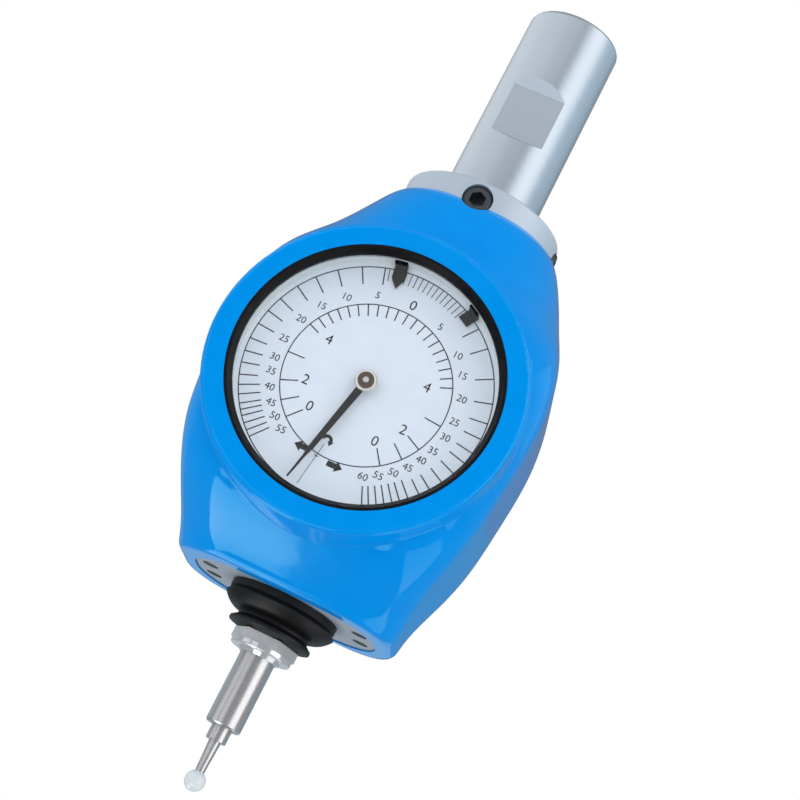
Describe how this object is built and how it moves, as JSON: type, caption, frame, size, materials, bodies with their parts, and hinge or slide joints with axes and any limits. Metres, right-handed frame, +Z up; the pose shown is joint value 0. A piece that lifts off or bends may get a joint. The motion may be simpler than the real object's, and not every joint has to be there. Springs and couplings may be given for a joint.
{
  "type": "three-dimensional edge finder",
  "caption": "Spindle probe for finding a workpiece's edges: round shank, painted housing with a dial and hand, rubber boot, and a tilting, sliding stylus with a ball tip.",
  "frame": {"origin": "centre of the shank's root, on the collar's top face", "axes": "+Z up the tool axis from the probe to the shank's end, -Y out of the dial towards the reader, +X to the reader's right"},
  "size_m": [0.062, 0.0552, 0.1737],
  "materials": {
    "satin_steel": "satin ground",
    "black_steel": "black oxide",
    "spring_steel": "drawn wire",
    "turned_steel": "turned",
    "polished_steel": "polished",
    "bright_chrome": "bright",
    "blue_enamel": "glossy enamel on a cast light alloy",
    "grey_plate": "anodised",
    "black_rubber": "satin",
    "brass": "turned",
    "white_ceramic": "polished",
    "dial_white": "matte printed",
    "white_plastic": "matte",
    "clear_crystal": "clear",
    "black_lacquer": "satin black",
    "black_plastic": "matte",
    "pale_nickel": "polished",
    "dark_bronze": "oiled"
  },
  "bodies": {
    "tool_body": {"shank": "satin_steel", "collar": "satin_steel", "set_screws": "black_steel", "clamp_screw": "black_steel", "clamp_washer": "spring_steel", "housing": "blue_enamel", "base_plate": "grey_plate", "plate_screws": "black_steel", "boot": "black_rubber", "guide_bush": "brass", "return_spring": "spring_steel", "front_plate": "brass", "back_plate": "brass", "pillars": "brass", "movement_screws": "black_steel", "dial": "dial_white", "dial_rim": "white_plastic", "crystal": "clear_crystal", "retaining_ring": "black_lacquer", "left_marker": "black_plastic", "right_marker": "black_plastic"},
    "lifting_carriage": {"carriage": "turned_steel", "plunger": "turned_steel", "pressure_foot": "turned_steel", "foot_spring": "spring_steel", "rack": "brass"},
    "gimbal": {"gimbal_ring": "turned_steel", "gimbal_pins": "turned_steel"},
    "stylus": {"lever": "turned_steel", "lever_pins": "turned_steel", "probe_nut": "bright_chrome", "probe_sleeve": "polished_steel", "stylus_stem": "polished_steel", "stylus_ball": "white_ceramic"},
    "wheel": {"wheel_arbor": "turned_steel", "drive_wheel": "brass"},
    "pointer": {"hand_arbor": "turned_steel", "hand": "black_lacquer", "hand_hub": "pale_nickel", "hub_cap": "dark_bronze"}
  },
  "joints": [
    {"name": "probe_lift", "type": "slide", "parent": "tool_body", "child": "lifting_carriage", "axis": [0, 0, 1], "range_m": [0, 0.004], "stiffness_N_per_m": 200, "springref_m": -0.006, "deforming": ["return_spring", "boot"]},
    {"name": "tilt_forward", "type": "hinge", "parent": "lifting_carriage", "child": "gimbal", "pos_m": [0, 0, -0.079], "axis": [1, 0, 0], "range_deg": [-8, 8], "stiffness_Nm_per_rad": 0.2},
    {"name": "tilt_sideways", "type": "hinge", "parent": "gimbal", "child": "stylus", "pos_m": [0, 0, -0.079], "axis": [0, 1, 0], "range_deg": [-8, 8], "stiffness_Nm_per_rad": 0.2},
    {"name": "wheel_turn", "type": "hinge", "parent": "tool_body", "child": "wheel", "pos_m": [-0.004, 0, -0.06198], "axis": [0, 1, 0], "range_deg": [-97, 0]},
    {"name": "hand_turn", "type": "hinge", "parent": "tool_body", "child": "pointer", "pos_m": [0, 0, -0.0526], "axis": [0, 1, 0], "range_deg": [0, 721]}
  ],
  "couplings": [
    {"joint": "wheel_turn", "follows": "probe_lift", "rad_per_m": -418.88},
    {"joint": "hand_turn", "follows": "probe_lift", "rad_per_m": 3141.6}
  ]
}
